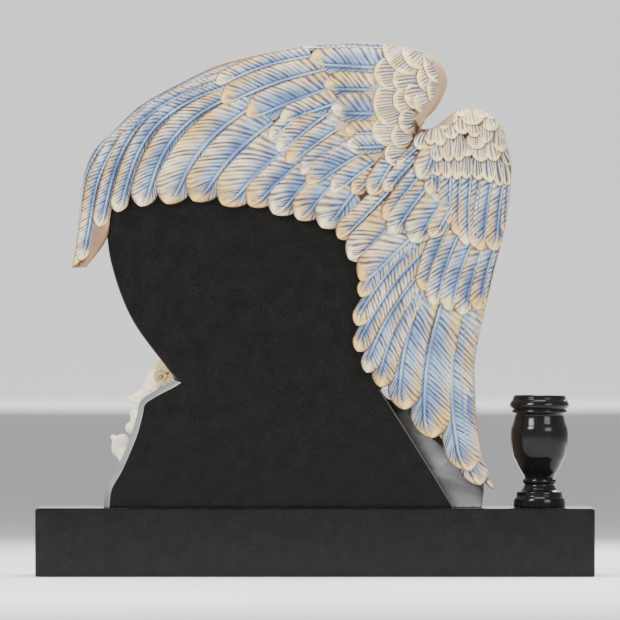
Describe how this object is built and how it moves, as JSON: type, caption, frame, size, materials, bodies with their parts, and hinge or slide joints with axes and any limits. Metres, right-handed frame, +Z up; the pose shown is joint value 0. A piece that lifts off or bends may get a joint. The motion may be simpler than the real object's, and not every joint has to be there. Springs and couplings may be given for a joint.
{
  "type": "angel headstone",
  "caption": "Granite headstone with a blank polished tablet, wrapped by the wings of a kneeling angel, on a plinth with a turned flower vase.",
  "frame": {"origin": "centre of the plinth's underside", "axes": "+X along the plinth towards the vase, +Y towards the side the angel kneels on, -Y towards the viewer of the blank panel, +Z up"},
  "size_m": [1.22, 0.46, 1.167],
  "materials": {
    "polished_black_granite": "polished black granite",
    "carved_pale_granite": "honed and tinted carved granite"
  },
  "bodies": {
    "root": {"plinth": "polished_black_granite", "tablet": "polished_black_granite", "angel": "carved_pale_granite", "vase": "polished_black_granite"}
  },
  "joints": []
}
